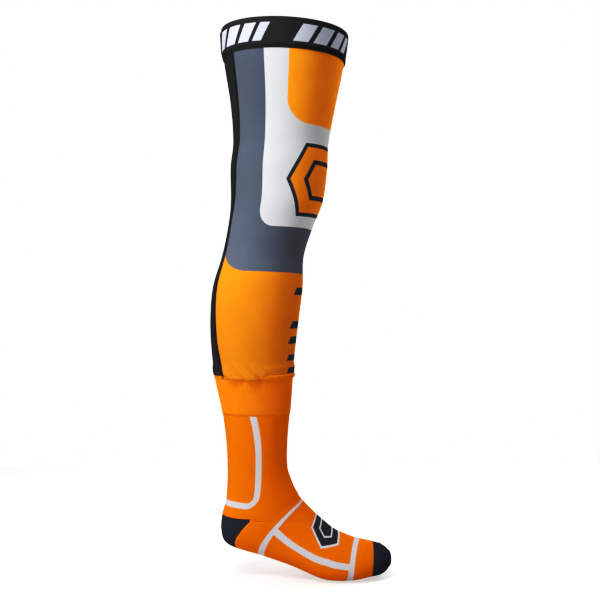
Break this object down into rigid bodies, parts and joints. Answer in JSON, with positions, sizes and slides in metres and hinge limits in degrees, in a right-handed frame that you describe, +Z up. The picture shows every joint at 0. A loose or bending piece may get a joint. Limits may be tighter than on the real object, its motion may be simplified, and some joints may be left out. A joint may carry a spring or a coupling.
{
  "type": "knee brace sock",
  "caption": "Thigh-length sock for wearing under a knee brace: an elastic waistband, a stretch sleeve of two panels, and a knitted sock with heel pocket and toe cap.",
  "frame": {"origin": "centre of the leg opening, at the top of the waistband", "axes": "+Z up the leg and out of the leg opening, +X toward the toes, +Y toward the wearer's left, the inner side of this right sock"},
  "size_m": [0.252, 0.1698, 0.7578],
  "materials": {
    "waist_elastic": "woven elastic, matt",
    "dark_thread": "polyester sewing thread",
    "orange_thread": "polyester sewing thread",
    "grip_silicone": "printed silicone, satin",
    "printed_stretch": "printed polyester and elastane jersey, slight sheen",
    "black_stretch": "polyester and elastane jersey, slight sheen",
    "orange_knit": "fine gauge plain knit, matt",
    "navy_knit": "fine gauge plain knit, matt",
    "terry_loops": "terry loops on the inside"
  },
  "bodies": {
    "thigh": {"waistband": "waist_elastic", "waistband_lap": "waist_elastic", "waist_stitching": "dark_thread", "grip_strip_upper": "grip_silicone", "grip_strip_lower": "grip_silicone", "front_panel_thigh": "printed_stretch", "back_panel_thigh": "black_stretch", "outer_seam_thigh": "dark_thread", "inner_seam_thigh": "dark_thread", "front_panel_knee": "printed_stretch", "back_panel_knee": "black_stretch", "outer_seam_knee": "dark_thread", "inner_seam_knee": "dark_thread"},
    "shank": {"front_panel_shin": "printed_stretch", "back_panel_calf": "black_stretch", "outer_seam_calf": "dark_thread", "inner_seam_calf": "dark_thread", "sleeve_hem": "printed_stretch", "calf_join_seam": "orange_thread", "rib_cuff": "orange_knit", "leg_knit": "orange_knit", "ankle_knit": "orange_knit"},
    "foot": {"heel_pocket": "navy_knit", "heel_cushion": "terry_loops", "foot_knit": "orange_knit", "sole_cushion": "terry_loops", "ball_knit": "orange_knit"},
    "toes": {"toe_knit": "orange_knit", "toe_cushion": "terry_loops", "toe_cap": "navy_knit", "toe_seam": "navy_knit"}
  },
  "joints": [
    {"name": "knee_bend", "type": "hinge", "parent": "thigh", "child": "shank", "pos_m": [-0.01, 0, -0.216], "axis": [0, 1, 0], "range_deg": [-2, 95], "deforming": ["front_panel_knee", "back_panel_knee", "outer_seam_knee", "inner_seam_knee"]},
    {"name": "ankle_flex", "type": "hinge", "parent": "shank", "child": "foot", "pos_m": [-0.041, 0, -0.657], "axis": [0, 1, 0], "range_deg": [-35, 30], "deforming": ["ankle_knit"]},
    {"name": "toe_flex", "type": "hinge", "parent": "foot", "child": "toes", "pos_m": [0.069, 0, -0.724], "axis": [0, 1, 0], "range_deg": [-35, 25], "deforming": ["ball_knit"]}
  ]
}
